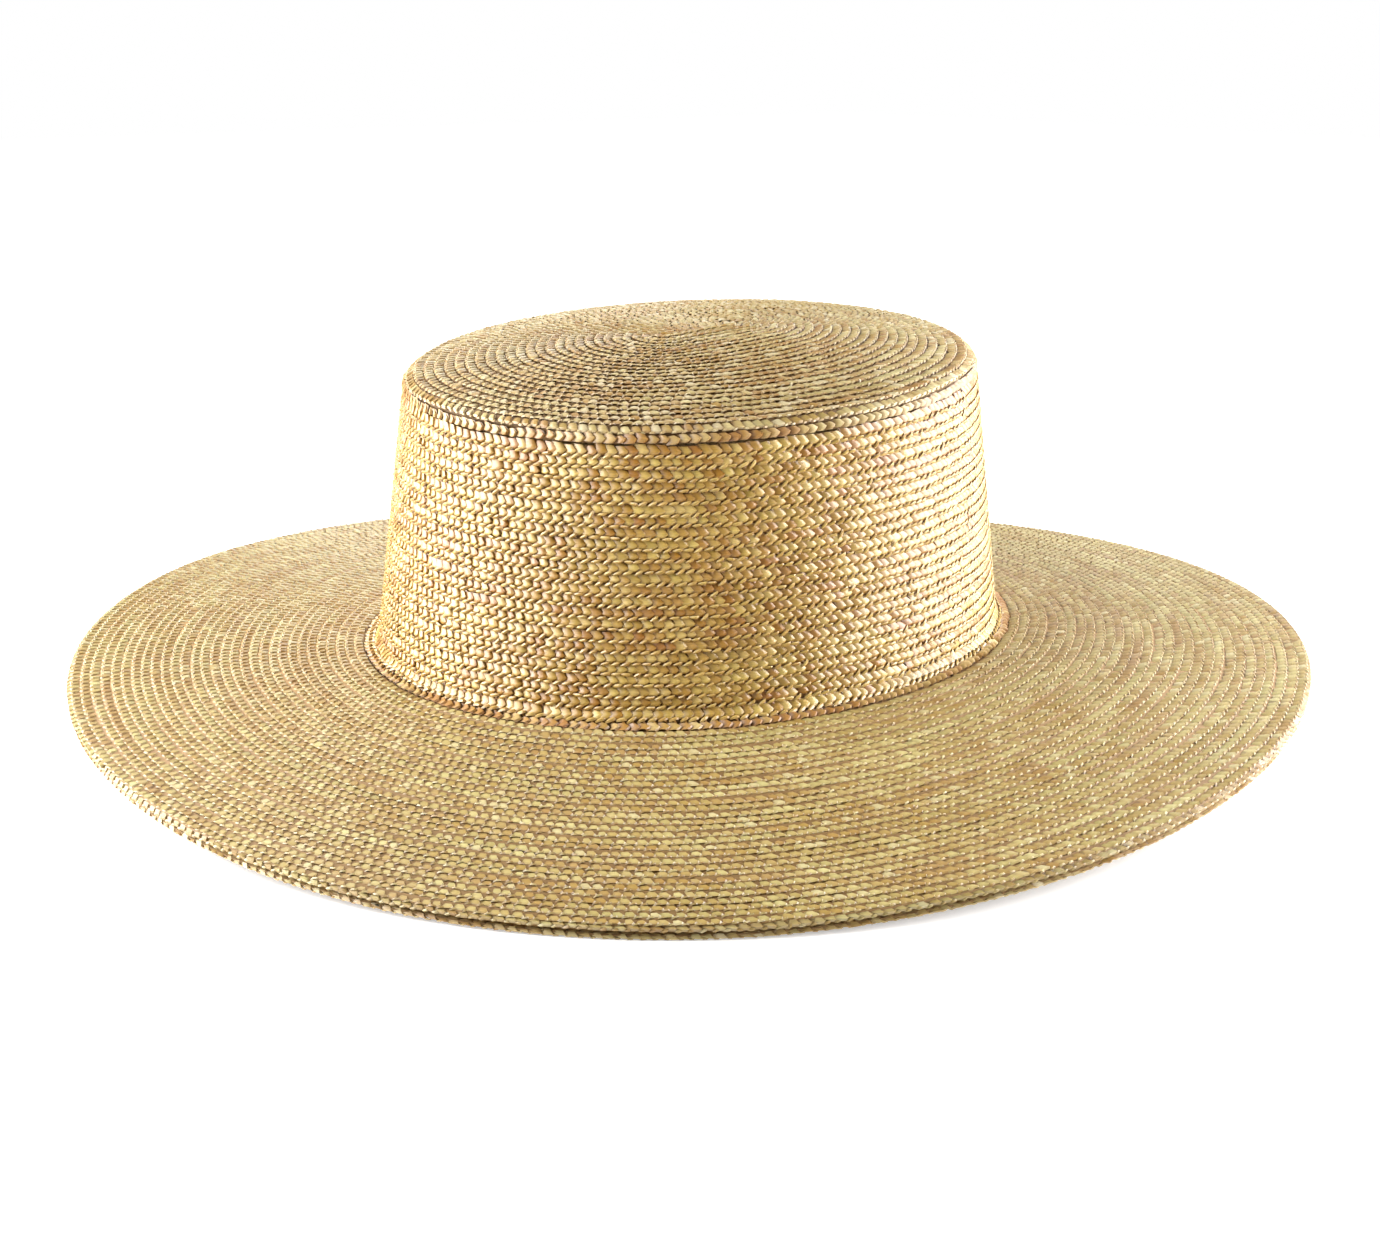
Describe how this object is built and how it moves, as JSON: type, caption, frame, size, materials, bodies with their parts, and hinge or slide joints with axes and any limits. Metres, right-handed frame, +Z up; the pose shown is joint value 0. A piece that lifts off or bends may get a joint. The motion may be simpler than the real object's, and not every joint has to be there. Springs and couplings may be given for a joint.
{
  "type": "boater hat",
  "caption": "Wide-brimmed boater hat of sewn straw plait, with an oval, gently domed crown, rounded rim and softly falling brim, resting on its brim.",
  "frame": {"origin": "on the floor under the middle of the brim: the middle of the bounding box's base, where the lowest stretches of the brim's edge rest", "axes": "+Y runs from the front of the hat to its back, the longer way of the oval; +Z up through the crown; +X to the hat's side"},
  "size_m": [0.3594, 0.3704, 0.1049],
  "materials": {
    "tip_straw": "natural wheat-straw plait, beige, lightly glossy",
    "side_straw": "natural wheat-straw plait, pale cream to golden, glossy",
    "brim_straw": "natural wheat-straw plait, golden tan with paler runs, glossy",
    "edge_straw": "natural wheat-straw plait, pale gold"
  },
  "bodies": {
    "root": {"crown_tip": "tip_straw", "crown_side": "side_straw", "brim": "brim_straw", "brim_edge": "edge_straw"}
  },
  "joints": []
}
